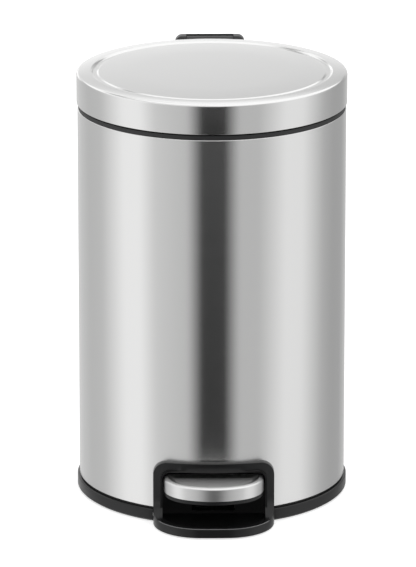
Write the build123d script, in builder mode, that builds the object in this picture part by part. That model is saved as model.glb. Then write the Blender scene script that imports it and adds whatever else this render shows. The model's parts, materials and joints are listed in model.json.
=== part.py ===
"""Round pedal trash can: steel shell on a moulded base, hinged steel lid, lift-out bucket.

Frame: origin on the can's axis at floor level, +Z up, the pedal faces -Y, the hinge is at +Y.
All sizes are in millimetres.
"""

import os
from math import cos, radians, sin, sqrt

from build123d import *

# ---------------------------------------------------------------- driving dimensions
BODY_R = 125.0  # outer radius of the steel shell
HEIGHT = 403.0  # floor to the crest of the lid
SHELL_T = 0.6  # sheet steel of shell and lid
LID_H = 29.2  # height of the lid's skirt
LID_OVERHANG = 0.8  # lid radius beyond the shell radius
LID_GAP = 1.5  # shadow gap under the lid
COLLAR_BAND = 3.9  # visible height of the collar
FIT = 0.2  # gap between pieces that locate each other
PRESS = 0.02  # gap round a pin or screw that is fixed in its hole
RUN = 0.06  # radial clearance of a shaft that turns or slides
SWING = 0.4  # gap beside a piece that moves past another

# Base and foot
FOOT = 1.2  # rubber stands this far below the plastic
RING_OVERHANG = 2.0  # base ring radius beyond the shell radius
RING_TOP = 11.9
RING_EDGE = 0.8  # bevel of the base ring's edges
SHADOW_GAP = 1.7  # visible gap between ring and shell
HEM = 2.6  # width of the turned-in edges of shell and lid
FLOOR_T = 2.5
FLOOR_Z = 3.9  # underside of the base's floor
SPIGOT_TOP = 28.0  # top of the wall that stands inside the shell
WALL = 2.0  # moulded wall
LAND_W = 10.0  # width of the thick land under the base ring
PAD_EDGE = 2.2  # base ring's edge to the anti-slip ring
PAD_W = 5.6  # radial width of the anti-slip ring
PAD_DEPTH = 1.2  # how deep the rubber sits in its groove

# Pedal, surround and tray
PEDAL_HALF_W = 46.5
PEDAL_REACH = 33.5  # pedal front beyond the shell
PEDAL_BACK = 11.5  # pedal rear edge inside the shell
PEDAL_FRONT_R = 1.4 * PEDAL_HALF_W
PEDAL_CORNER_R = 0.73 * PEDAL_HALF_W
PEDAL_TOP = 47.0
PEDAL_SKIRT = 13.0
PEDAL_UNDER = 3.5  # plastic showing below the steel
PEDAL_SHEET = 0.8
PEDAL_EDGE_R = 2.4
PEDAL_RIM = 8.0  # width of the raised rim
PEDAL_DISH = 1.8  # depth of the dish inside the rim
PEDAL_SIDE_GAP = 1.0
PEDAL_PLATE = 2.2  # thickness of the core's top
PEDAL_SCREW_X = 9.0
PEDAL_SCREW_IN = (20.0, 36.0)  # pedal screws behind the pedal's front edge
BAR = 8.5  # width of the surround's bars
HEADROOM = 5.0  # pedal top to the underside of the top bar
FRAME_REACH = 4.0  # surround's front beyond the shell, on the centre line
FRAME_R = 190.0  # radius of the surround's front
FRAME_CORNER = 13.0
FRAME_FOOT_R = 21.0  # hollow sweep from the bars out to the tray
OPENING_CORNER = 7.0
TRAY_REACH = 40.0  # tray front beyond the shell
TRAY_FRONT_R = 400.0
TRAY_CORNER = 44.0
TRAY_LIP = 8.2
TRAY_RIM = 6.0  # width of the tray's rim at the front
TRAY_BACK_Y = -100.0  # rear of the surround
LUG_X = 28.0  # surround's screw lugs
LUG_HALF_W = 8.0
LUG_LENGTH = 12.0
BOSS_R = 4.0
SCREW_R = 1.5
SCREW_HEAD_R = 3.0
SCREW_HEAD_H = 1.6

# Pedal lever and its axle
PIVOT_Y = -20.0
PIVOT_H = 19.6  # axle above the base's floor
AXLE_R = 3.0
SHEET = 2.0  # lever sheet
LEVER_HALF_W = 18.0
TONGUE_HALF_W = 14.0
TONGUE_FRONT = 10.0  # tongue end behind the pedal's front edge
LEVER_TAIL_HALF_W = 10.0
LEVER_UP = 8.0  # web above the axle
LEVER_DOWN = 6.0  # flange below the axle
LEVER_NOSE = 80.0  # axle to the front end of the lever's flanges
LEVER_END = 5.0  # tail beyond the rod's foot
BUSH_WALL = 1.0
BUSH_FLANGE = 1.5
CHEEK_T = 6.0
CHEEK_W = 24.0
CLIP_T = 1.2
CLIP_R = 5.6
PEDAL_TRAVEL_DEG = 9.2

# Push rod, guard and damper
ROD_R = 2.25
ROD_X = -15.0
ROD_INSET = 8.0  # rod axis inside the shell's inner face
ROD_BEND = 6.0
FOOT_END_X = -4.5
FOOT_PLAY = 0.4  # play of the rod's foot in the lever, up and down
FOOT_SLOT = 1.0  # extra play along the lever
GUARD_X0 = -22.0
GUARD_X1 = 18.0
GUARD_DEPTH = 5.5  # rod axis to the guard's face
GUARD_T = 1.2
GUARD_WINDOW_TOP = 54.0
GUARD_WINDOW_W = 12.0
GUARD_FOOT = 10.0
GUIDE_H = 14.0
GUIDE_LOW_Z = 90.0
GUIDE_HIGH_Z = 324.0
GUIDE_W = 11.0
DAMPER_X = 7.0
DAMPER_R = 5.0
DAMPER_T = 0.8
DAMPER_LENGTH = 80.0
DAMPER_Z = 150.0
DAMPER_ROD_R = 1.5
PISTON_H = 6.0
PISTON_Z = 22.0  # piston above the cylinder's foot, lid closed
LINK_Z = 258.0
LINK_H = 6.0
SHELF_T = 3.0

# Lid and its hinge
LID_OPEN_DEG = 82.0
LID_EDGE_R = 3.0
RIM_FALL = 1.0  # slope of the lid's rim, from the groove down to the edge
GROOVE_OUTER = 14.0  # lid edge to the outer side of the groove
GROOVE_W = 6.6
GROOVE_DEPTH = 1.8
GROOVE_SIDE = 1.4  # width of the groove's sloping sides
DISC_DROP = 0.9  # panel's rim below the crest
DISC_DOME = 0.6
HINGE_DROP = 7.0  # hinge axis below the lid's crest
HINGE_BACK = 7.7  # hinge axis behind the lid
KNUCKLE_R = 6.5
HINGE_PIN_R = 2.0
ARM_HALF_W = 22.0
ARM_T = 4.0
ARM_FRONT_Y = BODY_R - 63.0
NOTCH_GAP = 1.0  # lid notch beside the arm
LUG_T = 3.0
CRANK_LUG_R = 4.0
HOUSING_HALF_W = 33.0
HOUSING_DEPTH = 22.0  # beyond the shell
HOUSING_H = 58.0  # below the hinge axis
HOUSING_WALL = 3.5
HOUSING_FRONT = 1.2  # gap between lid and the front of the housing
HOUSING_BACK_GAP = 1.5  # gap behind the hinge barrel
HOUSING_SCREW_X = 27.0
HOUSING_SCREW_DROP = (42.5, 52.5)  # hood's screws below the hinge axis
CRANK_PIN_R = 1.5
YOKE_W = 7.0
YOKE_PLAY = 0.7
YOKE_WALL = 2.0
YOKE_DROP = 10.8  # socket below the crank pin
STUD_R = 2.0
NUT_H = 3.2
NUT_R = 4.0
REAR_STUDS = [(x, BODY_R - inset) for inset in (51.0, 27.0) for x in (-14.0, 14.0)]
FRONT_STUDS = [(-45.0, -60.0), (45.0, -60.0)]

# Collar and bucket
COLLAR_SPIGOT = 15.4
COLLAR_SEAT_R = BODY_R - 13.0
COLLAR_RECESS_R = BODY_R - 5.0
COLLAR_STEP = 0.8  # collar inside the shell's face
SEAT_DROP = 3.8  # bucket seat below the collar's top
LEDGE_T = 2.5
BUMPER_R = 1.5
BUMPER_SET = 1.0
BUMPER_ANGLES = (35.0, 145.0, 215.0, 325.0)
BUCKET_TOP_R = BODY_R - 15.7
BUCKET_BOTTOM_R = BODY_R - 21.5
BUCKET_T = 1.8
BUCKET_Z = 58.0
BUCKET_BASE_R = 6.0
FLANGE_T = 2.4
FLANGE_NOTCH_HALF_W = 24.0
BAIL_WIRE_R = 1.6
BAIL_R = BODY_R - 15.5
BAIL_BEND = 4.0
BAIL_EAR_X = BODY_R - 11.3
BAIL_EAR_T = 2.6
BAIL_EAR_HALF_W = 4.0
GRIP_R = 2.6
GRIP_ARC = 34.0
LINER_T = 2.0
LINER_R = BODY_R - 3.7
LINER_RISE = 3.7  # liner's edge above the lid's edge

# ---------------------------------------------------------------- derived places
lid_r = BODY_R + LID_OVERHANG
lid_z = HEIGHT - LID_H
collar_top = lid_z - LID_GAP
shell_top = collar_top - COLLAR_BAND
shell_z = RING_TOP + SHADOW_GAP
shell_in_r = BODY_R - SHELL_T
ring_r = BODY_R + RING_OVERHANG
floor_top = FLOOR_Z + FLOOR_T
spigot_r = BODY_R - HEM - FIT
spigot_in_r = spigot_r - WALL
shoulder_r = spigot_r + 1.3

pivot_z = floor_top + PIVOT_H
rod_y = shell_in_r - ROD_INSET
rear_arm = rod_y - PIVOT_Y
half_press = radians(PEDAL_TRAVEL_DEG / 2)
rod_travel = 2 * rear_arm * sin(half_press)
foot_z = pivot_z - rod_travel / 2

hinge_y = lid_r + HINGE_BACK
hinge_z = HEIGHT - HINGE_DROP
hood_front_y = BODY_R - HOUSING_DEPTH
half_open = radians(LID_OPEN_DEG / 2)
crank = rod_travel / (2 * sin(half_open))
crank_y = hinge_y - crank * cos(half_open)
crank_z = hinge_z - rod_travel / 2
crank_front_y = hinge_y - crank

pedal_front_y = -(BODY_R + PEDAL_REACH)
pedal_back_y = -(BODY_R - PEDAL_BACK)
pedal_skirt_z = PEDAL_TOP - PEDAL_SKIRT
pedal_bottom = pedal_skirt_z - PEDAL_UNDER
dish_z = PEDAL_TOP - PEDAL_DISH
core_top = dish_z - PEDAL_SHEET
pedal_screw_places = [(side * PEDAL_SCREW_X, pedal_front_y + d) for side in (-1, 1) for d in PEDAL_SCREW_IN]
opening_half_w = PEDAL_HALF_W + PEDAL_SIDE_GAP
surround_half_w = opening_half_w + BAR
opening_top = PEDAL_TOP + HEADROOM
surround_top = opening_top + BAR
frame_centre_y = FRAME_R - BODY_R - FRAME_REACH
tray_front_y = -(BODY_R + TRAY_REACH)
tray_floor = FOOT + FLOOR_T
tray_top = FOOT + TRAY_LIP
tunnel_half_w = opening_half_w + WALL
tunnel_top = opening_top + WALL

tongue_z = pivot_z + LEVER_NOSE * sin(half_press) + LEVER_UP * cos(half_press)
guard_y = rod_y - GUARD_DEPTH
guard_in_y = guard_y + GUARD_T
damper_y = guard_in_y + DAMPER_R + SWING
seat_z = collar_top - SEAT_DROP
ledge_z = seat_z - LEDGE_T
flange_top = seat_z + FLANGE_T
flange_r = COLLAR_RECESS_R - SWING
flange_notch_y = rod_y - ROD_R - YOKE_WALL - 2 * SWING
bail_z = flange_top + GRIP_R + SWING
liner_z = lid_z + LINER_RISE
liner_top = HEIGHT - GROOVE_DEPTH - SHELL_T
arm_top = liner_top - LINER_T
arm_bottom = arm_top - ARM_T
notch_half_w = ARM_HALF_W + NOTCH_GAP
yoke_half_w = YOKE_W / 2
lug_in = yoke_half_w + SWING
lug_out = lug_in + LUG_T
cheek_x = LEVER_HALF_W + BUSH_FLANGE + SWING
housing_screw_z = [hinge_z - drop for drop in HOUSING_SCREW_DROP]
bush_r = AXLE_R + RUN + BUSH_WALL

os.makedirs("parts", exist_ok=True)


def d_outline(half_w, front_y, back_y, front_r, corner_r, inset=0.0):
    """Plan outline: straight back, straight sides, a bowed front and rounded front corners."""
    w = half_w - inset
    front = front_y + inset
    r = front_r - inset
    side_y = front + r - sqrt(r * r - w * w)
    with BuildSketch(mode=Mode.PRIVATE) as plan:
        with BuildLine():
            Polyline((w, side_y), (w, back_y - inset), (-w, back_y - inset), (-w, side_y))
            ThreePointArc((-w, side_y), (0, front), (w, side_y))
        make_face()
        fillet(plan.vertices().group_by(Axis.Y)[0], radius=corner_r - inset)
    return plan.sketch


def pedal_outline(inset):
    """The pedal's plan outline, drawn in by inset."""
    return d_outline(PEDAL_HALF_W, pedal_front_y, pedal_back_y, PEDAL_FRONT_R, PEDAL_CORNER_R, inset)


def screw(x, y, seat, tip, points_up):
    """An upright pan-head screw with its head against the level called seat."""
    head_z = seat - SCREW_HEAD_H if points_up else seat
    with Locations((x, y, head_z)):
        Cylinder(SCREW_HEAD_R, SCREW_HEAD_H, align=(Align.CENTER, Align.CENTER, Align.MIN))
    with Locations((x, y, min(seat, tip))):
        Cylinder(SCREW_R, abs(tip - seat), align=(Align.CENTER, Align.CENTER, Align.MIN))


def drill(x, y, z0, z1, radius):
    """An upright round hole from z0 to z1."""
    with Locations((x, y, z0)):
        Cylinder(radius, z1 - z0, align=(Align.CENTER, Align.CENTER, Align.MIN), mode=Mode.SUBTRACT)


def block(x0, x1, y0, y1, z0, z1, mode=Mode.ADD):
    """A box given by its faces."""
    with Locations((x0, y0, z0)):
        Box(x1 - x0, y1 - y0, z1 - z0, align=(Align.MIN, Align.MIN, Align.MIN), mode=mode)


def post(x, y, z0, z1, radius):
    """An upright round post from z0 to z1."""
    with Locations((x, y, z0)):
        Cylinder(radius, z1 - z0, align=(Align.CENTER, Align.CENTER, Align.MIN))


# ---------------------------------------------------------------- base
foot_in_r = ring_r - PAD_EDGE - PAD_W
foot_out_r = ring_r - PAD_EDGE

with BuildPart() as base_tray:
    with BuildSketch(Plane.XZ) as base_section:
        with BuildLine():
            Polyline(
                (0, FLOOR_Z),
                (ring_r - LAND_W, FLOOR_Z),
                (ring_r - LAND_W, FOOT),
                (ring_r, FOOT),
                (ring_r, RING_TOP),
                (shoulder_r, RING_TOP),
                (shoulder_r, shell_z),
                (spigot_r, shell_z),
                (spigot_r, SPIGOT_TOP),
                (spigot_in_r, SPIGOT_TOP),
                (spigot_in_r, floor_top),
                (0, floor_top),
                close=True,
            )
        make_face()
        chamfer(base_section.vertices().group_by(Axis.X)[-1], length=RING_EDGE)
    revolve(axis=Axis.Z)
    # groove for the anti-slip ring
    with BuildSketch(Plane.XY.offset(FOOT)):
        Circle(foot_out_r)
        Circle(foot_in_r, mode=Mode.SUBTRACT)
    extrude(amount=PAD_DEPTH, mode=Mode.SUBTRACT)
    # bearing cheeks for the pedal axle
    for side in (-1, 1):
        x0 = min(side * cheek_x, side * (cheek_x + CHEEK_T))
        block(
            x0,
            x0 + CHEEK_T,
            PIVOT_Y - CHEEK_W / 2,
            PIVOT_Y + CHEEK_W / 2,
            floor_top - WALL / 2,
            pivot_z + 2 * AXLE_R,
        )
    with BuildSketch(Plane.YZ):
        with Locations((PIVOT_Y, pivot_z)):
            Circle(AXLE_R + PRESS)
    extrude(amount=2 * LEVER_HALF_W + CHEEK_T, both=True, mode=Mode.SUBTRACT)
    # screw bosses for the surround
    for x in (-LUG_X, LUG_X):
        with Locations((x, TRAY_BACK_Y + LUG_LENGTH / 2, FLOOR_Z)):
            Cylinder(BOSS_R, 2 * BOSS_R, align=(Align.CENTER, Align.CENTER, Align.MIN))
    # room for the surround at the front and the guard at the rear
    cut_half_w = surround_half_w + FIT
    block(-cut_half_w, cut_half_w, -2 * BODY_R, TRAY_BACK_Y + FIT, 0, SPIGOT_TOP + 1, mode=Mode.SUBTRACT)
    block(
        GUARD_X0 - WALL,
        GUARD_X1 + WALL,
        guard_y,
        shell_in_r,
        floor_top,
        SPIGOT_TOP + 1,
        mode=Mode.SUBTRACT,
    )
    for x in (-LUG_X, LUG_X):
        drill(x, TRAY_BACK_Y + LUG_LENGTH / 2, FLOOR_Z - 1, FLOOR_Z + 2 * BOSS_R - 1, SCREW_R + PRESS)
    for x in (GUARD_X0 + GUARD_FOOT / 2, GUARD_X1 - GUARD_FOOT / 4):
        drill(x, guard_y - GUARD_FOOT / 2, FLOOR_Z - 1, floor_top + 1, SCREW_R + PRESS)
base_tray.part.label = "base_tray"
export_step(base_tray.part, "parts/base_tray.step")

with BuildPart() as foot_ring:
    with BuildSketch(Plane.XY):
        Circle(foot_out_r - FIT)
        Circle(foot_in_r + FIT, mode=Mode.SUBTRACT)
    extrude(amount=FOOT + PAD_DEPTH)
foot_ring.part.label = "foot_ring"
export_step(foot_ring.part, "parts/foot_ring.step")

# ---------------------------------------------------------------- pedal surround and tray
sweep_plane = Plane(origin=(0, frame_centre_y, 0), x_dir=(0, -1, 0), z_dir=(-1, 0, 0))
tray_reach_r = frame_centre_y - tray_front_y + BAR
tray_plan = d_outline(surround_half_w, tray_front_y, TRAY_BACK_Y, TRAY_FRONT_R, TRAY_CORNER)
pocket_plan = d_outline(
    opening_half_w,
    tray_front_y + TRAY_RIM,
    TRAY_BACK_Y - WALL,
    TRAY_FRONT_R - TRAY_RIM,
    TRAY_CORNER - TRAY_RIM,
)

with BuildPart() as pedal_surround:
    # bars that sweep forward into the tray, turned about the centre of the bowed front
    with BuildSketch(sweep_plane):
        with BuildLine():
            Polyline(
                (0, surround_top),
                (0, FOOT),
                (tray_reach_r, FOOT),
                (tray_reach_r, tray_top),
                (FRAME_R + FRAME_FOOT_R, tray_top),
            )
            RadiusArc(
                (FRAME_R + FRAME_FOOT_R, tray_top),
                (FRAME_R, tray_top + FRAME_FOOT_R),
                FRAME_FOOT_R,
            )
            Polyline((FRAME_R, tray_top + FRAME_FOOT_R), (FRAME_R, surround_top), (0, surround_top))
        make_face()
    revolve(axis=Axis((0, frame_centre_y, 0), (0, 0, 1)))
    with BuildSketch(Plane.XY):
        add(tray_plan)
    extrude(amount=HEIGHT, mode=Mode.INTERSECT)
    with BuildSketch(Plane.XZ) as frame_front:
        with Locations((0, FOOT)):
            Rectangle(2 * surround_half_w, surround_top - FOOT, align=(Align.CENTER, Align.MIN))
        fillet(frame_front.vertices().group_by(Axis.Y)[-1], radius=FRAME_CORNER)
    extrude(amount=2 * BODY_R, mode=Mode.INTERSECT)
    # the shell's room
    with BuildSketch(Plane.XY.offset(shell_z - FIT)):
        Circle(BODY_R + PRESS)
    extrude(amount=HEIGHT, mode=Mode.SUBTRACT)
    # tunnel inside the shell
    with BuildSketch(Plane.XZ.offset(-TRAY_BACK_Y)) as tunnel_front:
        with Locations((0, tray_floor - WALL / 2)):
            Rectangle(
                2 * tunnel_half_w,
                tunnel_top - tray_floor + WALL / 2,
                align=(Align.CENTER, Align.MIN),
            )
        fillet(tunnel_front.vertices().group_by(Axis.Y)[-1], radius=OPENING_CORNER + WALL)
    extrude(amount=BODY_R + TRAY_BACK_Y + FRAME_REACH - WALL)
    # the hollow that the pedal moves in
    with BuildSketch(Plane.XY.offset(tray_floor)):
        add(pocket_plan)
    extrude(amount=SPIGOT_TOP - tray_floor, mode=Mode.SUBTRACT)
    with BuildSketch(Plane.XZ.offset(-TRAY_BACK_Y + WALL)) as opening_front:
        with Locations((0, tray_top)):
            Rectangle(2 * opening_half_w, opening_top - tray_top, align=(Align.CENTER, Align.MIN))
        fillet(opening_front.vertices().group_by(Axis.Y)[-1], radius=OPENING_CORNER)
    extrude(amount=BODY_R, mode=Mode.SUBTRACT)
    # window for the lever
    block(
        -LEVER_HALF_W - 2 * PEDAL_SIDE_GAP,
        LEVER_HALF_W + 2 * PEDAL_SIDE_GAP,
        TRAY_BACK_Y - 2 * WALL,
        TRAY_BACK_Y + WALL,
        floor_top,
        tongue_z + WALL,
        mode=Mode.SUBTRACT,
    )
    # screw lugs under the base's floor
    for x in (-LUG_X, LUG_X):
        block(
            x - LUG_HALF_W,
            x + LUG_HALF_W,
            TRAY_BACK_Y - WALL,
            TRAY_BACK_Y + LUG_LENGTH,
            FOOT,
            FLOOR_Z,
        )
    with BuildSketch(Plane.XY.offset(FOOT)):
        Circle(foot_out_r)
        Circle(foot_in_r, mode=Mode.SUBTRACT)
    extrude(amount=PAD_DEPTH, mode=Mode.SUBTRACT)
    for x in (-LUG_X, LUG_X):
        drill(x, TRAY_BACK_Y + LUG_LENGTH / 2, 0, FLOOR_Z + 1, SCREW_R + FIT)
        drill(x, TRAY_BACK_Y + LUG_LENGTH / 2, 0, FOOT + SCREW_HEAD_H, SCREW_HEAD_R + FIT)
pedal_surround.part.label = "pedal_surround"
export_step(pedal_surround.part, "parts/pedal_surround.step")

with BuildPart() as surround_screws:
    for x in (-LUG_X, LUG_X):
        screw(x, TRAY_BACK_Y + LUG_LENGTH / 2, FOOT + SCREW_HEAD_H, FLOOR_Z + 2 * BOSS_R - 2, True)
surround_screws.part.label = "surround_screws"
export_step(surround_screws.part, "parts/surround_screws.step")

# ---------------------------------------------------------------- steel shell
with BuildPart() as outer_shell:
    with BuildSketch(Plane.XZ):
        with BuildLine():
            Polyline(
                (BODY_R - HEM, shell_z),
                (BODY_R, shell_z),
                (BODY_R, shell_top),
                (BODY_R - HEM, shell_top),
                (BODY_R - HEM, shell_top - SHELL_T),
                (shell_in_r, shell_top - SHELL_T),
                (shell_in_r, shell_z + SHELL_T),
                (BODY_R - HEM, shell_z + SHELL_T),
                close=True,
            )
        make_face()
    revolve(axis=Axis.Z)
    with BuildSketch(Plane.XZ) as shell_opening:
        Rectangle(2 * (tunnel_half_w + FIT), tunnel_top + FIT, align=(Align.CENTER, Align.MIN))
        fillet(shell_opening.vertices().group_by(Axis.Y)[-1], radius=OPENING_CORNER + WALL)
    extrude(amount=2 * BODY_R, mode=Mode.SUBTRACT)
    with BuildSketch(Plane.XZ):
        with Locations(*[(side * HOUSING_SCREW_X, z) for side in (-1, 1) for z in housing_screw_z]):
            Circle(SCREW_R + FIT)
    extrude(amount=-2 * BODY_R, mode=Mode.SUBTRACT)
outer_shell.part.label = "outer_shell"
export_step(outer_shell.part, "parts/outer_shell.step")

# ---------------------------------------------------------------- collar and bumpers
band_r = BODY_R - COLLAR_STEP
bumper_place_r = (band_r + COLLAR_RECESS_R) / 2 + FIT

with BuildPart() as collar_ring:
    with BuildSketch(Plane.XZ):
        with BuildLine():
            Polyline(
                (COLLAR_SEAT_R, ledge_z),
                (spigot_in_r, ledge_z),
                (spigot_in_r, collar_top - COLLAR_SPIGOT),
                (spigot_r, collar_top - COLLAR_SPIGOT),
                (spigot_r, shell_top),
                (band_r, shell_top),
                (band_r, collar_top),
                (COLLAR_RECESS_R, collar_top),
                (COLLAR_RECESS_R, seat_z),
                (COLLAR_SEAT_R, seat_z),
                close=True,
            )
        make_face()
    revolve(axis=Axis.Z)
    drill(ROD_X, rod_y, ledge_z - COLLAR_SPIGOT, collar_top + 1, ROD_R + SWING)
    block(
        GUARD_X0 - WALL,
        GUARD_X1 + WALL,
        guard_y - 1,
        BODY_R,
        ledge_z - COLLAR_SPIGOT,
        ledge_z,
        mode=Mode.SUBTRACT,
    )
    for angle in BUMPER_ANGLES:
        x = bumper_place_r * cos(radians(angle))
        y = bumper_place_r * sin(radians(angle))
        drill(x, y, collar_top - BUMPER_SET, collar_top + 1, BUMPER_R + PRESS)
collar_ring.part.label = "collar_ring"
export_step(collar_ring.part, "parts/collar_ring.step")

with BuildPart() as lid_bumpers:
    with BuildSketch(Plane.XY.offset(collar_top - BUMPER_SET)):
        for angle in BUMPER_ANGLES:
            with Locations((bumper_place_r * cos(radians(angle)), bumper_place_r * sin(radians(angle)))):
                Circle(BUMPER_R)
    extrude(amount=BUMPER_SET + LID_GAP - FIT)
lid_bumpers.part.label = "lid_bumpers"
export_step(lid_bumpers.part, "parts/lid_bumpers.step")

# ---------------------------------------------------------------- rear hinge housing
housing_back = BODY_R + HOUSING_DEPTH
housing_front = lid_r + HOUSING_FRONT
housing_z = hinge_z - HOUSING_H
step_z = collar_top - SHELL_T
deck_z = hinge_z - KNUCKLE_R - HOUSING_BACK_GAP
barrel_back = hinge_y + KNUCKLE_R + HOUSING_BACK_GAP
hollow_top = deck_z - HOUSING_WALL
inner_half_w = HOUSING_HALF_W - HOUSING_WALL
barrel_half_w = ARM_HALF_W + SWING

with BuildPart() as hinge_housing:
    with BuildSketch(Plane.YZ) as housing_side:
        with BuildLine():
            Polyline(
                (hood_front_y, housing_z),
                (housing_back, housing_z),
                (housing_back, hinge_z + KNUCKLE_R),
                (housing_front, hinge_z + KNUCKLE_R),
                (housing_front, step_z),
                (hood_front_y, step_z),
                close=True,
            )
        make_face()
        fillet(housing_side.vertices().group_by(Axis.Y)[-1], radius=KNUCKLE_R - PRESS)
        fillet(housing_side.vertices().group_by(Axis.Y)[0].sort_by(Axis.X)[-1], radius=HOUSING_DEPTH / 2)
    extrude(amount=HOUSING_HALF_W, both=True)
    with BuildSketch(Plane.XY.offset(housing_z - 1)):
        Circle(BODY_R + PRESS)
    extrude(amount=step_z - housing_z + 2, mode=Mode.SUBTRACT)
    fillet(
        hinge_housing.edges().filter_by(Axis.Z).group_by(Axis.Y)[-1],
        radius=KNUCKLE_R,
    )
    # room for the hinge barrel
    block(
        -barrel_half_w,
        barrel_half_w,
        housing_front - 1,
        barrel_back,
        deck_z,
        HEIGHT + 1,
        mode=Mode.SUBTRACT,
    )
    # hollow hood: the hand grip below, closed in front by the shell
    block(
        -inner_half_w,
        inner_half_w,
        hood_front_y,
        housing_back - HOUSING_WALL,
        housing_z - 1,
        shell_top - WALL,
        mode=Mode.SUBTRACT,
    )
    block(
        -inner_half_w,
        inner_half_w,
        housing_front + WALL,
        housing_back - HOUSING_WALL,
        shell_top - WALL - 1,
        hollow_top,
        mode=Mode.SUBTRACT,
    )
    # screw bosses beside the grip
    with BuildSketch(Plane.XZ.offset(-housing_back + HOUSING_WALL)):
        with Locations(*[(side * HOUSING_SCREW_X, z) for side in (-1, 1) for z in housing_screw_z]):
            Circle(BOSS_R)
    extrude(amount=HOUSING_DEPTH - HOUSING_WALL)
    with BuildSketch(Plane.XY.offset(housing_z - 1)):
        Circle(BODY_R + PRESS)
    extrude(amount=shell_top - housing_z, mode=Mode.SUBTRACT)
    with BuildSketch(Plane.XZ.offset(-housing_back + HOUSING_WALL)):
        with Locations(*[(side * HOUSING_SCREW_X, z) for side in (-1, 1) for z in housing_screw_z]):
            Circle(SCREW_R + PRESS)
    extrude(amount=HOUSING_DEPTH, mode=Mode.SUBTRACT)
    with BuildSketch(Plane.YZ):
        with Locations((hinge_y, hinge_z)):
            Circle(HINGE_PIN_R + PRESS)
    extrude(amount=HOUSING_HALF_W + 1, both=True, mode=Mode.SUBTRACT)
hinge_housing.part.label = "hinge_housing"
export_step(hinge_housing.part, "parts/hinge_housing.step")

housing_screw_y = sqrt(shell_in_r**2 - (HOUSING_SCREW_X + SCREW_HEAD_R) ** 2)

with BuildPart() as housing_screws:
    places = [(side * HOUSING_SCREW_X, z) for side in (-1, 1) for z in housing_screw_z]
    with BuildSketch(Plane.XZ.offset(-housing_screw_y)):
        with Locations(*places):
            Circle(SCREW_HEAD_R)
    extrude(amount=SCREW_HEAD_H)
    with BuildSketch(Plane.XZ.offset(-housing_screw_y)):
        with Locations(*places):
            Circle(SCREW_R)
    extrude(amount=-(housing_back - HOUSING_WALL - 2 * WALL - housing_screw_y))
housing_screws.part.label = "housing_screws"
export_step(housing_screws.part, "parts/housing_screws.step")

with BuildPart() as hinge_pin:
    with BuildSketch(Plane.YZ):
        with Locations((hinge_y, hinge_z)):
            Circle(HINGE_PIN_R)
    extrude(amount=HOUSING_HALF_W - SWING, both=True)
hinge_pin.part.label = "hinge_pin"
export_step(hinge_pin.part, "parts/hinge_pin.step")

# ---------------------------------------------------------------- lid
groove_out = lid_r - GROOVE_OUTER
groove_in = groove_out - GROOVE_W
disc_z = HEIGHT - DISC_DROP


rim_z = HEIGHT - RIM_FALL
skirt_top = rim_z - LID_EDGE_R


def lid_points(sheet):
    """Points of the lid's top from the centre to the rim; sheet is how far below the face they lie."""
    return (
        (0, disc_z + DISC_DOME - sheet),
        (groove_in, disc_z - sheet),
        (groove_in + GROOVE_SIDE, HEIGHT - GROOVE_DEPTH - sheet),
        (groove_out - GROOVE_SIDE, HEIGHT - GROOVE_DEPTH - sheet),
        (groove_out, HEIGHT - sheet),
        (lid_r - LID_EDGE_R, rim_z - sheet),
    )


with BuildPart() as lid_cap:
    with BuildSketch(Plane.XZ):
        with BuildLine():
            Polyline(*lid_points(0))
            RadiusArc((lid_r - LID_EDGE_R, rim_z), (lid_r, skirt_top), LID_EDGE_R)
            Polyline(
                (lid_r, skirt_top),
                (lid_r, lid_z),
                (lid_r - HEM, lid_z),
                (lid_r - HEM, lid_z + SHELL_T),
                (lid_r - SHELL_T, lid_z + SHELL_T),
                (lid_r - SHELL_T, skirt_top),
            )
            RadiusArc(
                (lid_r - SHELL_T, skirt_top),
                (lid_r - LID_EDGE_R, rim_z - SHELL_T),
                SHELL_T - LID_EDGE_R,
            )
            Polyline(*reversed(lid_points(SHELL_T)))
            Line((0, disc_z + DISC_DOME - SHELL_T), (0, disc_z + DISC_DOME))
        make_face()
    revolve(axis=Axis.Z)
    block(
        -notch_half_w,
        notch_half_w,
        ARM_FRONT_Y,
        2 * BODY_R,
        lid_z - 1,
        arm_top + SWING,
        mode=Mode.SUBTRACT,
    )
    # welded studs for the liner and the arm
    for x, y in REAR_STUDS:
        post(x, y, arm_bottom - NUT_H - 1, disc_z - SHELL_T / 2, STUD_R)
    for x, y in FRONT_STUDS:
        post(x, y, arm_top - NUT_H - 1, disc_z - SHELL_T / 2, STUD_R)
lid_cap.part.label = "lid_cap"
export_step(lid_cap.part, "parts/lid_cap.step")

with BuildPart() as lid_liner:
    with BuildSketch(Plane.XZ):
        with BuildLine():
            Polyline(
                (0, arm_top),
                (LINER_R - LINER_T, arm_top),
                (LINER_R - LINER_T, liner_z),
                (LINER_R, liner_z),
                (LINER_R, liner_top - LINER_T),
                (LINER_R - LINER_T, liner_top),
                (0, liner_top),
                close=True,
            )
        make_face()
    revolve(axis=Axis.Z)
    block(
        -notch_half_w,
        notch_half_w,
        guard_y - WALL,
        2 * BODY_R,
        lid_z,
        arm_top + LINER_T + 1,
        mode=Mode.SUBTRACT,
    )
    for x, y in REAR_STUDS + FRONT_STUDS:
        drill(x, y, arm_top - 1, HEIGHT, STUD_R + PRESS)
lid_liner.part.label = "lid_liner"
export_step(lid_liner.part, "parts/lid_liner.step")

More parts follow.
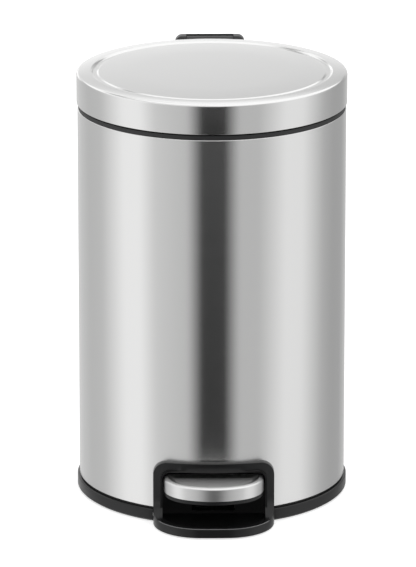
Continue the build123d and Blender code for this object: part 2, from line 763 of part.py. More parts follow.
with BuildPart() as lid_arm:
    with BuildSketch(Plane.YZ):
        with Locations((hinge_y, hinge_z)):
            Circle(KNUCKLE_R - FIT)
        with BuildLine():
            Polyline(
                (ARM_FRONT_Y, arm_bottom),
                (hinge_y, arm_bottom),
                (hinge_y, arm_top),
                (ARM_FRONT_Y, arm_top),
                close=True,
            )
        make_face()
    extrude(amount=ARM_HALF_W, both=True)
    # window for the yoke
    block(
        ROD_X - lug_in,
        ROD_X + lug_in,
        guard_y - 2 * WALL,
        hinge_y - KNUCKLE_R - SWING,
        arm_bottom - 1,
        arm_top + 1,
        mode=Mode.SUBTRACT,
    )
    # lugs that carry the crank pin
    for x0 in (ROD_X - lug_out, ROD_X + lug_in):
        with BuildSketch(Plane.YZ.offset(x0)):
            with Locations((crank_y, crank_z)):
                Circle(CRANK_LUG_R)
            with Locations((crank_y, crank_z)):
                Rectangle(2 * CRANK_LUG_R, arm_top - crank_z - 1, align=(Align.CENTER, Align.MIN))
        extrude(amount=LUG_T)
    with BuildSketch(Plane.YZ):
        with Locations((crank_y, crank_z)):
            Circle(CRANK_PIN_R + PRESS)
    extrude(amount=ARM_HALF_W + 1, both=True, mode=Mode.SUBTRACT)
    with BuildSketch(Plane.YZ):
        with Locations((hinge_y, hinge_z)):
            Circle(HINGE_PIN_R + RUN)
    extrude(amount=ARM_HALF_W + 1, both=True, mode=Mode.SUBTRACT)
    for x, y in REAR_STUDS:
        drill(x, y, arm_bottom - 1, arm_top + 1, STUD_R + PRESS)
lid_arm.part.label = "lid_arm"
export_step(lid_arm.part, "parts/lid_arm.step")

with BuildPart() as lid_nuts:
    for places, seat in ((REAR_STUDS, arm_bottom), (FRONT_STUDS, arm_top)):
        with BuildSketch(Plane.XY.offset(seat - NUT_H)):
            with Locations(*places):
                RegularPolygon(NUT_R, 6)
                Circle(STUD_R + PRESS, mode=Mode.SUBTRACT)
        extrude(amount=NUT_H)
lid_nuts.part.label = "lid_nuts"
export_step(lid_nuts.part, "parts/lid_nuts.step")

with BuildPart() as crank_pin:
    with BuildSketch(Plane.YZ.offset(ROD_X - lug_out)):
        with Locations((crank_y, crank_z)):
            Circle(CRANK_PIN_R)
    extrude(amount=2 * lug_out)
crank_pin.part.label = "crank_pin"
export_step(crank_pin.part, "parts/crank_pin.step")

# ---------------------------------------------------------------- push rod
socket_top = crank_z - CRANK_PIN_R - YOKE_PLAY - YOKE_WALL
foot_y = rod_y

with BuildPart() as push_rod:
    with BuildLine() as rod_path:
        Line((ROD_X, foot_y, socket_top), (ROD_X, foot_y, foot_z + ROD_BEND))
        ThreePointArc(
            (ROD_X, foot_y, foot_z + ROD_BEND),
            (ROD_X + ROD_BEND * (1 - cos(radians(45))), foot_y, foot_z + ROD_BEND * (1 - sin(radians(45)))),
            (ROD_X + ROD_BEND, foot_y, foot_z),
        )
        Line((ROD_X + ROD_BEND, foot_y, foot_z), (FOOT_END_X, foot_y, foot_z))
    with BuildSketch(Plane.XY.offset(socket_top)):
        with Locations((ROD_X, foot_y)):
            Circle(ROD_R)
    sweep(path=rod_path.wires()[0])
push_rod.part.label = "push_rod"
export_step(push_rod.part, "parts/push_rod.step")

slot_half_h = CRANK_PIN_R + YOKE_PLAY
slot_y0 = crank_front_y - CRANK_PIN_R - SWING
slot_y1 = crank_y + CRANK_PIN_R + SWING
yoke_y0 = min(slot_y0 - YOKE_WALL, rod_y - ROD_R - YOKE_WALL)

with BuildPart() as rod_yoke:
    block(
        ROD_X - yoke_half_w,
        ROD_X + yoke_half_w,
        yoke_y0,
        slot_y1 + YOKE_WALL,
        crank_z - YOKE_DROP,
        crank_z + slot_half_h + YOKE_WALL,
    )
    fillet(rod_yoke.edges().filter_by(Axis.X), radius=YOKE_WALL)
    block(
        ROD_X - YOKE_W,
        ROD_X + YOKE_W,
        slot_y0,
        slot_y1,
        crank_z - slot_half_h,
        crank_z + slot_half_h,
        mode=Mode.SUBTRACT,
    )
    drill(ROD_X, rod_y, crank_z - 2 * YOKE_DROP, socket_top, ROD_R + PRESS)
rod_yoke.part.label = "rod_yoke"
export_step(rod_yoke.part, "parts/rod_yoke.step")

clip_x = -LEVER_TAIL_HALF_W + SHEET + 2 * SWING

with BuildPart() as rod_clip:
    with BuildSketch(Plane.YZ.offset(clip_x)):
        with Locations((rod_y, foot_z)):
            Circle(1.7 * ROD_R)
            Circle(ROD_R + PRESS, mode=Mode.SUBTRACT)
    extrude(amount=CLIP_T)
rod_clip.part.label = "rod_clip"
export_step(rod_clip.part, "parts/rod_clip.step")

# ---------------------------------------------------------------- guard and guides
with BuildPart() as mechanism_guard:
    with BuildSketch(Plane.XY.offset(floor_top)):
        with Locations((GUARD_X0, guard_y)):
            Rectangle(GUARD_X1 - GUARD_X0, BODY_R, align=(Align.MIN, Align.MIN))
        Circle(spigot_r, mode=Mode.INTERSECT)
        with Locations((GUARD_X0 + GUARD_T, guard_in_y)):
            Rectangle(
                GUARD_X1 - GUARD_X0 - 2 * GUARD_T,
                BODY_R,
                align=(Align.MIN, Align.MIN),
                mode=Mode.SUBTRACT,
            )
    extrude(amount=ledge_z - floor_top)
    block(
        GUARD_X0 + GUARD_T,
        GUARD_WINDOW_W,
        guard_y - 1,
        guard_in_y + 1,
        floor_top - 1,
        GUARD_WINDOW_TOP,
        mode=Mode.SUBTRACT,
    )
    block(
        GUARD_X0,
        GUARD_X0 + GUARD_FOOT,
        guard_y - GUARD_FOOT,
        guard_y + GUARD_T,
        floor_top,
        floor_top + GUARD_T,
    )
    block(
        GUARD_X1 - GUARD_FOOT / 2,
        GUARD_X1,
        guard_y - GUARD_FOOT,
        guard_y + GUARD_T,
        floor_top,
        floor_top + GUARD_T,
    )
    for x in (GUARD_X0 + GUARD_FOOT / 2, GUARD_X1 - GUARD_FOOT / 4):
        drill(x, guard_y - GUARD_FOOT / 2, floor_top - 1, floor_top + 2 * GUARD_T, SCREW_R + PRESS)
mechanism_guard.part.label = "mechanism_guard"
export_step(mechanism_guard.part, "parts/mechanism_guard.step")

with BuildPart() as guard_screws:
    for x in (GUARD_X0 + GUARD_FOOT / 2, GUARD_X1 - GUARD_FOOT / 4):
        screw(x, guard_y - GUARD_FOOT / 2, floor_top + GUARD_T, FLOOR_Z + FIT, False)
guard_screws.part.label = "guard_screws"
export_step(guard_screws.part, "parts/guard_screws.step")

with BuildPart() as rod_guides:
    for z in (GUIDE_LOW_Z, GUIDE_HIGH_Z):
        with BuildSketch(Plane.XY.offset(z)):
            with Locations((GUARD_X0 + GUARD_T, guard_in_y)):
                Rectangle(GUIDE_W, BODY_R, align=(Align.MIN, Align.MIN))
            Circle(shell_in_r - FIT, mode=Mode.INTERSECT)
            with Locations((ROD_X, rod_y)):
                Circle(ROD_R + RUN, mode=Mode.SUBTRACT)
        extrude(amount=GUIDE_H)
rod_guides.part.label = "rod_guides"
export_step(rod_guides.part, "parts/rod_guides.step")

# ---------------------------------------------------------------- damper
with BuildPart() as damper_bracket:
    with BuildSketch(Plane.XY.offset(DAMPER_Z - SHELF_T)):
        with Locations((GUARD_X0 + GUARD_T, guard_in_y)):
            Rectangle(GUARD_X1 - GUARD_X0 - 2 * GUARD_T, BODY_R, align=(Align.MIN, Align.MIN))
        Circle(shell_in_r - FIT, mode=Mode.INTERSECT)
        with Locations((ROD_X, rod_y)):
            Circle(ROD_R + SWING, mode=Mode.SUBTRACT)
    extrude(amount=SHELF_T)
damper_bracket.part.label = "damper_bracket"
export_step(damper_bracket.part, "parts/damper_bracket.step")

damper_top = DAMPER_Z + DAMPER_LENGTH
piston_z = DAMPER_Z + PISTON_Z

with BuildPart() as damper_cylinder:
    with Locations((DAMPER_X, damper_y, DAMPER_Z)):
        Cylinder(DAMPER_R, DAMPER_LENGTH, align=(Align.CENTER, Align.CENTER, Align.MIN))
    drill(DAMPER_X, damper_y, DAMPER_Z + SHELF_T, damper_top - SHELF_T, DAMPER_R - DAMPER_T)
    drill(DAMPER_X, damper_y, DAMPER_Z + SHELF_T, damper_top + 1, DAMPER_ROD_R + RUN)
damper_cylinder.part.label = "damper_cylinder"
export_step(damper_cylinder.part, "parts/damper_cylinder.step")

with BuildPart() as damper_piston:
    with Locations((DAMPER_X, damper_y, piston_z)):
        Cylinder(DAMPER_R - DAMPER_T - SWING, PISTON_H, align=(Align.CENTER, Align.CENTER, Align.MIN))
        Cylinder(DAMPER_ROD_R, LINK_Z + LINK_H - piston_z, align=(Align.CENTER, Align.CENTER, Align.MIN))
damper_piston.part.label = "damper_piston"
export_step(damper_piston.part, "parts/damper_piston.step")

with BuildPart() as damper_link:
    block(
        ROD_X - ROD_R - WALL,
        DAMPER_X + DAMPER_ROD_R + WALL,
        rod_y - ROD_R - WALL / 2,
        damper_y + ROD_R + WALL / 2,
        LINK_Z,
        LINK_Z + LINK_H,
    )
    drill(ROD_X, rod_y, LINK_Z - 1, LINK_Z + LINK_H + 1, ROD_R + PRESS)
    drill(DAMPER_X, damper_y, LINK_Z - 1, LINK_Z + LINK_H + 1, DAMPER_ROD_R + PRESS)
damper_link.part.label = "damper_link"
export_step(damper_link.part, "parts/damper_link.step")

# ---------------------------------------------------------------- pedal lever and axle
lever_at = (0, PIVOT_Y, pivot_z)
lever_plane = Plane(lever_at, x_dir=(1, 0, 0), z_dir=(0, sin(half_press), cos(half_press)))
side_plane = Plane(lever_at, x_dir=(0, cos(half_press), -sin(half_press)), z_dir=(1, 0, 0))
tongue_front_y = pedal_front_y + TONGUE_FRONT
taper_y = rear_arm * 0.4


def lever_plan(inset, nose):
    """The lever's plan outline, full width to the axle and tapering to the tail."""
    return [
        (LEVER_HALF_W - inset, -nose),
        (LEVER_HALF_W - inset, LEVER_UP),
        (LEVER_TAIL_HALF_W - inset, taper_y),
        (LEVER_TAIL_HALF_W - inset, rear_arm + LEVER_END),
        (inset - LEVER_TAIL_HALF_W, rear_arm + LEVER_END),
        (inset - LEVER_TAIL_HALF_W, taper_y),
        (inset - LEVER_HALF_W, LEVER_UP),
        (inset - LEVER_HALF_W, -nose),
    ]


with BuildPart() as pedal_lever:
    # folded channel: web on top, a flange down each side
    with BuildSketch(lever_plane.offset(-LEVER_DOWN)):
        Polygon(*lever_plan(0, LEVER_NOSE), align=None)
    extrude(amount=LEVER_UP + LEVER_DOWN)
    with BuildSketch(lever_plane.offset(-LEVER_DOWN)):
        Polygon(*lever_plan(SHEET, LEVER_NOSE + 1), align=None)
    extrude(amount=LEVER_UP + LEVER_DOWN - SHEET, mode=Mode.SUBTRACT)
    # flat tongue that carries the pedal
    block(
        -TONGUE_HALF_W,
        TONGUE_HALF_W,
        tongue_front_y,
        PIVOT_Y - LEVER_NOSE * cos(half_press) + SHEET,
        tongue_z - SHEET,
        tongue_z,
    )
    with BuildSketch(side_plane):
        Circle(bush_r + PRESS)
    extrude(amount=2 * LEVER_HALF_W, both=True, mode=Mode.SUBTRACT)
    # slot for the push rod's foot
    with BuildSketch(side_plane):
        with Locations((rear_arm / cos(half_press), 0)):
            SlotCenterToCenter(2 * FOOT_SLOT, 2 * (ROD_R + FOOT_PLAY))
    extrude(amount=-2 * LEVER_TAIL_HALF_W, mode=Mode.SUBTRACT)
    for x, y in pedal_screw_places:
        drill(x, y, tongue_z - 2 * SHEET, tongue_z + 1, SCREW_R + PRESS)
pedal_lever.part.label = "pedal_lever"
export_step(pedal_lever.part, "parts/pedal_lever.step")

with BuildPart() as axle_bushes:
    for side in (-1, 1):
        with BuildSketch(Plane.YZ.offset(side * (LEVER_HALF_W - SHEET - 1))):
            with Locations((PIVOT_Y, pivot_z)):
                Circle(bush_r)
        extrude(amount=side * (SHEET + 1 + BUSH_FLANGE))
        with BuildSketch(Plane.YZ.offset(side * LEVER_HALF_W)):
            with Locations((PIVOT_Y, pivot_z)):
                Circle(bush_r + BUSH_FLANGE)
        extrude(amount=side * BUSH_FLANGE)
    with BuildSketch(Plane.YZ):
        with Locations((PIVOT_Y, pivot_z)):
            Circle(AXLE_R + RUN)
    extrude(amount=2 * LEVER_HALF_W, both=True, mode=Mode.SUBTRACT)
axle_bushes.part.label = "axle_bushes"
export_step(axle_bushes.part, "parts/axle_bushes.step")

axle_half = cheek_x + CHEEK_T + CLIP_T + 1

with BuildPart() as pedal_axle:
    with BuildSketch(Plane.YZ):
        with Locations((PIVOT_Y, pivot_z)):
            Circle(AXLE_R)
    extrude(amount=axle_half, both=True)
pedal_axle.part.label = "pedal_axle"
export_step(pedal_axle.part, "parts/pedal_axle.step")

with BuildPart() as axle_clips:
    for side in (-1, 1):
        with BuildSketch(Plane.YZ.offset(side * (cheek_x + CHEEK_T))):
            with Locations((PIVOT_Y, pivot_z)):
                Circle(CLIP_R)
                Circle(AXLE_R + PRESS, mode=Mode.SUBTRACT)
        extrude(amount=side * CLIP_T)
axle_clips.part.label = "axle_clips"
export_step(axle_clips.part, "parts/axle_clips.step")

# ---------------------------------------------------------------- pedal
core_inset = PEDAL_SHEET + PRESS

with BuildPart() as pedal_core:
    with BuildSketch(Plane.XY.offset(pedal_bottom)):
        add(pedal_outline(SWING))
    extrude(amount=PEDAL_UNDER)
    with BuildSketch(Plane.XY.offset(pedal_skirt_z)):
        add(pedal_outline(core_inset))
    extrude(amount=core_top - pedal_skirt_z)
    with BuildSketch(Plane.XY.offset(pedal_bottom)):
        add(pedal_outline(core_inset + WALL))
    extrude(amount=core_top - PEDAL_PLATE - pedal_bottom, mode=Mode.SUBTRACT)
    # bosses down to the tongue
    for x, y in pedal_screw_places:
        with Locations((x, y, tongue_z)):
            Cylinder(BOSS_R, core_top - tongue_z, align=(Align.CENTER, Align.CENTER, Align.MIN))
    block(
        -LEVER_HALF_W,
        LEVER_HALF_W,
        pedal_back_y - 2 * WALL - 1,
        pedal_back_y + 1,
        pedal_bottom - 1,
        tongue_z + SWING,
        mode=Mode.SUBTRACT,
    )
    for x, y in pedal_screw_places:
        drill(x, y, tongue_z - 1, core_top - PRESS, SCREW_R + PRESS)
pedal_core.part.label = "pedal_core"
export_step(pedal_core.part, "parts/pedal_core.step")

with BuildPart() as pedal_cap:
    with BuildSketch(Plane.XY.offset(pedal_skirt_z)):
        add(pedal_outline(0))
    extrude(amount=PEDAL_SKIRT)
    fillet(pedal_cap.edges().group_by(Axis.Z)[-1], radius=PEDAL_EDGE_R)
    with BuildSketch(Plane.XY.offset(pedal_skirt_z)):
        add(pedal_outline(PEDAL_SHEET))
    extrude(amount=core_top - pedal_skirt_z, mode=Mode.SUBTRACT)
    # raised rim, hollow beneath
    with BuildSketch(Plane.XY.offset(core_top)):
        add(pedal_outline(PEDAL_EDGE_R))
        add(pedal_outline(PEDAL_RIM - PEDAL_SHEET), mode=Mode.SUBTRACT)
    extrude(amount=PEDAL_DISH, mode=Mode.SUBTRACT)
    with BuildSketch(Plane.XY.offset(dish_z)):
        add(pedal_outline(PEDAL_RIM))
    extrude(amount=PEDAL_DISH, mode=Mode.SUBTRACT)
    # rear notch for the tongue
    block(
        -LEVER_HALF_W,
        LEVER_HALF_W,
        pedal_back_y - WALL,
        pedal_back_y + 1,
        pedal_skirt_z - 1,
        tongue_z + SWING,
        mode=Mode.SUBTRACT,
    )
pedal_cap.part.label = "pedal_cap"
export_step(pedal_cap.part, "parts/pedal_cap.step")

with BuildPart() as pedal_screws:
    for x, y in pedal_screw_places:
        screw(x, y, tongue_z - SHEET, core_top - 1, True)
pedal_screws.part.label = "pedal_screws"
export_step(pedal_screws.part, "parts/pedal_screws.step")

# ---------------------------------------------------------------- bucket
with BuildPart() as bucket:
    with BuildSketch(Plane.XZ) as bucket_section:
        with BuildLine():
            Polyline(
                (0, BUCKET_Z),
                (BUCKET_BOTTOM_R, BUCKET_Z),
                (BUCKET_TOP_R, seat_z),
                (flange_r, seat_z),
                (flange_r, flange_top),
                (BUCKET_TOP_R - BUCKET_T, flange_top),
                (BUCKET_BOTTOM_R - BUCKET_T, BUCKET_Z + BUCKET_T),
                (0, BUCKET_Z + BUCKET_T),
                close=True,
            )
        make_face()
        fillet(bucket_section.vertices().group_by(Axis.Y)[0].sort_by(Axis.X)[-1], radius=BUCKET_BASE_R)
    revolve(axis=Axis.Z)
    block(
        -FLANGE_NOTCH_HALF_W,
        FLANGE_NOTCH_HALF_W,
        flange_notch_y,
        BODY_R,
        seat_z - 1,
        flange_top + 1,
        mode=Mode.SUBTRACT,
    )
    # ears for the bail
    for x0 in (-BAIL_EAR_X - BAIL_EAR_T, BAIL_EAR_X):
        block(
            x0,
            x0 + BAIL_EAR_T,
            -BAIL_EAR_HALF_W,
            BAIL_EAR_HALF_W,
            flange_top - FLANGE_T / 2,
            bail_z + BAIL_WIRE_R + WALL,
        )
    with BuildSketch(Plane.YZ):
        with Locations((0, bail_z)):
            Circle(BAIL_WIRE_R + RUN)
    extrude(amount=BODY_R, both=True, mode=Mode.SUBTRACT)
bucket.part.label = "bucket"
export_step(bucket.part, "parts/bucket.step")

bend_x = BAIL_R + BAIL_BEND
wire_end = BAIL_EAR_X + BAIL_EAR_T + 1

with BuildPart() as bucket_bail:
    with BuildLine(Plane.XY.offset(bail_z)) as bail_path:
        Line((wire_end, 0), (bend_x, 0))
        RadiusArc((bend_x, 0), (BAIL_R, -BAIL_BEND), -BAIL_BEND)
        ThreePointArc((BAIL_R, -BAIL_BEND), (0, -BAIL_R - BAIL_BEND), (-BAIL_R, -BAIL_BEND))
        RadiusArc((-BAIL_R, -BAIL_BEND), (-bend_x, 0), -BAIL_BEND)
        Line((-bend_x, 0), (-wire_end, 0))
    with BuildSketch(Plane.YZ.offset(wire_end)):
        with Locations((0, bail_z)):
            Circle(BAIL_WIRE_R)
    sweep(path=bail_path.wires()[0])
bucket_bail.part.label = "bucket_bail"
export_step(bucket_bail.part, "parts/bucket_bail.step")

with BuildPart() as bail_grip:
    with BuildSketch(Plane.YZ):
        with Locations((-BAIL_R - BAIL_BEND, bail_z)):
            Circle(GRIP_R)
            Circle(BAIL_WIRE_R + RUN, mode=Mode.SUBTRACT)
    revolve(axis=Axis((0, -BAIL_BEND, 0), (0, 0, 1)), revolution_arc=GRIP_ARC / 2)
    with BuildSketch(Plane.YZ):
        with Locations((-BAIL_R - BAIL_BEND, bail_z)):
            Circle(GRIP_R)
            Circle(BAIL_WIRE_R + RUN, mode=Mode.SUBTRACT)
    revolve(axis=Axis((0, -BAIL_BEND, 0), (0, 0, 1)), revolution_arc=-GRIP_ARC / 2)
bail_grip.part.label = "bail_grip"
export_step(bail_grip.part, "parts/bail_grip.step")
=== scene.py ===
"""Round pedal trash can: brushed steel shell and lid, black moulded base, pedal surround and hinge hood."""

import json
import math

import bmesh
import bpy
import numpy as np

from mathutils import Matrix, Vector


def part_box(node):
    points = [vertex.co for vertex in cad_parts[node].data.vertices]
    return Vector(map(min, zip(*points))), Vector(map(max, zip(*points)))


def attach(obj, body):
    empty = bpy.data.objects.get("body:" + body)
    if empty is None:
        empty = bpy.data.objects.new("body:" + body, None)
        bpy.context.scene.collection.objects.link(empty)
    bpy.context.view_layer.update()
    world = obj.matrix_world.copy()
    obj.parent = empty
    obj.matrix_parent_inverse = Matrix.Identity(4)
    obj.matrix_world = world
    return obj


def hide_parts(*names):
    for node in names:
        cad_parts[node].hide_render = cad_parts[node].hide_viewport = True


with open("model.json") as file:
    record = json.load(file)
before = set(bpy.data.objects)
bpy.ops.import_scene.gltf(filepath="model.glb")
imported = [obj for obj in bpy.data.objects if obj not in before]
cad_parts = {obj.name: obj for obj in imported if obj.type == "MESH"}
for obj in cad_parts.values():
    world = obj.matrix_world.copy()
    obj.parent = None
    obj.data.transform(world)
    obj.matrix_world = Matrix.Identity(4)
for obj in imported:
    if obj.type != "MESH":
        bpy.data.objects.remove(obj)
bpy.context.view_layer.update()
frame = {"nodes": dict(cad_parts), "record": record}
MM = 0.001
TAU = 2 * math.pi

# ---------------------------------------------------------------- mesh tools
SAME_POINT = 0.002 * MM  # points closer than this are merged
NO_LENGTH = 0.001 * MM  # edges shorter than this are dropped
FLAT = math.radians(0.6)  # neighbours of a copied piece that turn less than this are joined
BEVEL_FROM = math.radians(35)  # edges that turn more than this are rounded
SHARP = math.radians(32)  # edges that turn more than this are shaded as sharp ones
SHARP_ROUNDED = math.radians(40)  # the same on a piece whose edges are rounded


def span(node):
    """Lowest and highest corner of a piece of the frame, as two arrays in metres."""
    low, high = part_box(node)
    return np.array(low), np.array(high)


def rounded(corners, steps=6):
    """Polyline through (x, y, radius) corners, each rounded by an arc.

    The arc touches both sides at radius / tan(half the angle between them) from the corner, and its points
    are centre + radius * (cos, sin) of evenly spaced angles between the two touching points.
    """
    out = []
    for i, (x, y, radius) in enumerate(corners):
        here = np.array([x, y], float)
        if radius <= 0 or i in (0, len(corners) - 1):
            out.append(here[None])
            continue
        to_last = np.array(corners[i - 1][:2]) - here
        to_next = np.array(corners[i + 1][:2]) - here
        to_last /= np.linalg.norm(to_last)
        to_next /= np.linalg.norm(to_next)
        half = math.acos(np.clip(to_last @ to_next, -1, 1)) / 2
        middle = (to_last + to_next) / np.linalg.norm(to_last + to_next)
        centre = here + middle * radius / math.sin(half)
        start = here + to_last * radius / math.tan(half) - centre
        end = here + to_next * radius / math.tan(half) - centre
        a0 = math.atan2(start[1], start[0])
        turn = (math.atan2(end[1], end[0]) - a0 + math.pi) % TAU - math.pi
        a = a0 + turn * np.linspace(0, 1, steps + 1)
        out.append(centre + radius * np.stack([np.cos(a), np.sin(a)], 1))
    return np.concatenate(out)


def closed_rounded(corners):
    """The same for a closed outline: the first and last corners are rounded too."""
    return rounded([corners[-1], *corners, corners[0]])[1:-1]


def grid_faces(rows, cols, wrap_rows=False, wrap_cols=False):
    """Quads of a grid numbered row by row; a wrapped side joins its last line to its first."""
    i = np.arange(rows if wrap_rows else rows - 1)[:, None]
    j = np.arange(cols if wrap_cols else cols - 1)[None, :]
    i2, j2 = (i + 1) % rows, (j + 1) % cols
    quads = np.stack([i * cols + j + 0 * i2, i * cols + j2, i2 * cols + j2, i2 * cols + j], -1)
    return quads.reshape(-1, 4)


def shade(mesh, sharp=SHARP):
    """Smooth shading, except across edges that turn more than sharp."""
    mesh.shade_smooth()
    mesh.set_sharp_from_angle(angle=sharp)


def tidy_mesh(mesh, flat=0.0, turn_out=True):
    """Merges doubles, joins flat neighbours when flat is an angle above 0, and turns normals out."""
    work = bmesh.new()
    work.from_mesh(mesh)
    bmesh.ops.remove_doubles(work, verts=work.verts, dist=SAME_POINT)
    bmesh.ops.dissolve_degenerate(work, edges=work.edges, dist=NO_LENGTH)
    if flat > 0:
        bmesh.ops.dissolve_limit(work, angle_limit=flat, verts=work.verts, edges=work.edges)
    if turn_out:
        bmesh.ops.recalc_face_normals(work, faces=work.faces)
    work.to_mesh(mesh)
    work.free()
    shade(mesh)


def make_piece(name, points, faces, finish, extra_faces=()):
    """A mesh object from arrays of points (metres) and quads, doubles merged and normals turned out."""
    mesh = bpy.data.meshes.new(name)
    mesh.from_pydata(np.asarray(points, float).tolist(), [], np.asarray(faces).tolist() + list(extra_faces))
    piece = bpy.data.objects.new(name, mesh)
    bpy.context.scene.collection.objects.link(piece)
    tidy_mesh(mesh)
    mesh.materials.append(finish)
    return piece


def lathe(name, profile, finish, turns=360, closed=True):
    """A profile of (radius, height) points turned about Z: (r sin t, -r cos t, z) on a grid of t and profile.

    A closed profile is a ring's section; an open one starts and ends on the axis.
    """
    profile = np.asarray(profile, float)
    t = np.arange(turns) * TAU / turns
    r, z = profile[:, 0], profile[:, 1]
    points = np.stack([np.outer(np.sin(t), r), -np.outer(np.cos(t), r), np.outer(np.ones(turns), z)], -1)
    faces = grid_faces(turns, len(profile), wrap_rows=True, wrap_cols=closed)
    return make_piece(name, points.reshape(-1, 3), faces, finish)


def level_tube(name, path, radius, finish, sides=12):
    """A round section carried along a level path: p + radius * (cos a * side - sin a * up).

    side is square to the path and level: the path's direction x up. Both ends are closed by a flat face.
    """
    path = np.asarray(path, float)
    up = np.array([0.0, 0.0, 1.0])
    side = np.cross(np.gradient(path, axis=0), up)
    side /= np.linalg.norm(side, axis=1)[:, None]
    a = (np.arange(sides) * TAU / sides)[None, :, None]
    points = path[:, None] + radius * (np.cos(a) * side[:, None] - np.sin(a) * up)
    ends = [list(range(sides))[::-1], list(range((len(path) - 1) * sides, len(path) * sides))]
    faces = grid_faces(len(path), sides, wrap_cols=True)
    return make_piece(name, points.reshape(-1, 3), faces, finish, ends)


def apply_live(piece):
    """Writes the piece's modifiers into its mesh."""
    mesh = bpy.data.meshes.new_from_object(piece.evaluated_get(bpy.context.evaluated_depsgraph_get()))
    piece.modifiers.clear()
    piece.data = mesh


def face_rows(piece, what):
    """The centre or the normal of each face, as rows of an array."""
    values = np.empty(len(piece.data.polygons) * 3)
    piece.data.polygons.foreach_get(what, values)
    return values.reshape(-1, 3)


def second_finish(piece, finish, chosen):
    """Gives another finish to the chosen faces, an array of true and false."""
    mesh = piece.data
    mesh.materials.append(finish)
    mesh.polygons.foreach_set("material_index", chosen.astype(np.int32) * (len(mesh.materials) - 1))


def cut_box(piece, low, high):
    """Cuts the box between two corners out of a piece."""
    low, high = np.array(low, float), np.array(high, float)
    corner = np.array([[i & 1, i >> 1 & 1, i >> 2 & 1] for i in range(8)])
    faces = [(0, 2, 3, 1), (4, 5, 7, 6), (0, 1, 5, 4), (2, 6, 7, 3), (0, 4, 6, 2), (1, 3, 7, 5)]
    mesh = bpy.data.meshes.new("cutter")
    mesh.from_pydata((low + corner * (high - low)).tolist(), [], faces)
    cutter = bpy.data.objects.new("cutter", mesh)
    bpy.context.scene.collection.objects.link(cutter)
    mod = piece.modifiers.new("cut", "BOOLEAN")
    mod.operation, mod.solver, mod.object = "DIFFERENCE", "EXACT", cutter
    bpy.context.view_layer.update()
    apply_live(piece)
    bpy.data.objects.remove(cutter)
    shade(piece.data)


def bevel(piece, width, segments=3):
    """Rounds the piece's sharp edges."""
    mod = piece.modifiers.new("rounded edges", "BEVEL")
    mod.width, mod.segments, mod.limit_method, mod.angle_limit = width, segments, "ANGLE", BEVEL_FROM
    apply_live(piece)
    shade(piece.data, SHARP_ROUNDED)


def moulding(name, node, finish, edge):
    """A finer copy of a piece of the frame: triangles joined where flat, edges rounded by edge."""
    mesh = frame["nodes"][node].data.copy()
    mesh.name = name
    piece = bpy.data.objects.new(name, mesh)
    bpy.context.scene.collection.objects.link(piece)
    tidy_mesh(mesh, flat=FLAT, turn_out=False)
    if edge > 0:
        bevel(piece, edge)
    piece.data.materials.clear()
    piece.data.materials.append(finish)
    return piece


# ---------------------------------------------------------------- shader tools
class Value:
    """A number that varies over a surface; each + - * / or abs() on it adds a Math node."""

    def __init__(self, tree, socket):
        self.tree, self.socket = tree, socket

    def math(self, operation, a, b=0.0, clamp=False):
        node = self.tree.nodes.new("ShaderNodeMath")
        node.operation, node.use_clamp = operation, clamp
        for i, value in enumerate((a, b)):
            if isinstance(value, Value):
                self.tree.links.new(value.socket, node.inputs[i])
            else:
                node.inputs[i].default_value = value
        return Value(self.tree, node.outputs[0])

    def __add__(self, other):
        return self.math("ADD", self, other)

    __radd__ = __add__

    def __sub__(self, other):
        return self.math("SUBTRACT", self, other)

    def __rsub__(self, other):
        return self.math("SUBTRACT", other, self)

    def __mul__(self, other):
        return self.math("MULTIPLY", self, other)

    __rmul__ = __mul__

    def __truediv__(self, other):
        return self.math("DIVIDE", self, other)

    def __rtruediv__(self, other):
        return self.math("DIVIDE", other, self)

    def __abs__(self):
        return self.math("ABSOLUTE", self)

    def clamped(self):
        """The value held between 0 and 1."""
        return self.math("ADD", self, 0.0, clamp=True)


class Finish:
    """A material or world under construction."""

    def __init__(self, owner):
        self.owner = owner
        owner.use_nodes = True
        self.tree = owner.node_tree
        self.tree.nodes.clear()

    def node(self, kind, settings=None, inputs=None):
        """Any node: its settings are set first, then its inputs, each a number, colour or link."""
        made = self.tree.nodes.new("ShaderNode" + kind)
        for key, value in (settings or {}).items():
            if key == "stops":
                ramp = made.color_ramp
                while len(ramp.elements) > 1:
                    ramp.elements.remove(ramp.elements[-1])
                for k, (place, level) in enumerate(value):
                    stop = ramp.elements[0] if k == 0 else ramp.elements.new(place)
                    stop.position = place
                    stop.color = (level, level, level, 1.0)
            else:
                setattr(made, key, value)
        for key, value in (inputs or {}).items():
            if isinstance(value, Value):
                self.tree.links.new(value.socket, made.inputs[key])
            elif isinstance(value, bpy.types.NodeSocket):
                self.tree.links.new(value, made.inputs[key])
            else:
                made.inputs[key].default_value = value
        return made

    def value(self, socket):
        """A node's output as a Value."""
        return Value(self.tree, socket)

    def place(self, stretch=(1.0, 1.0, 1.0)):
        """Object coordinates, stretched."""
        coords = self.node("TexCoord").outputs["Object"]
        return self.node("Mapping", inputs={"Vector": coords, "Scale": stretch}).outputs[0]

    def noise(self, vector, scale, detail, roughness=0.5):
        """Noise of a scale in cells per metre of the given place."""
        inputs = {"Vector": vector, "Scale": scale, "Detail": detail, "Roughness": roughness}
        return self.value(self.node("TexNoise", inputs=inputs).outputs[0])

    def surface(self, **inputs):
        """The material with a Principled shader of these inputs, spaces written as underscores."""
        names = {key.replace("_", " "): value for key, value in inputs.items()}
        shader = self.node("BsdfPrincipled", inputs=names)
        self.node("OutputMaterial", inputs={"Surface": shader.outputs[0]})
        return self.owner


# ---------------------------------------------------------------- finishes
STEEL_DARKER = (0.720, 0.720, 0.716, 1.0)
STEEL_LIGHTER = (0.880, 0.880, 0.876, 1.0)
GRAIN_HEIGHT = 0.2 * MM
PLASTIC_GRAIN = 1400.0  # cells per metre of the satin grain


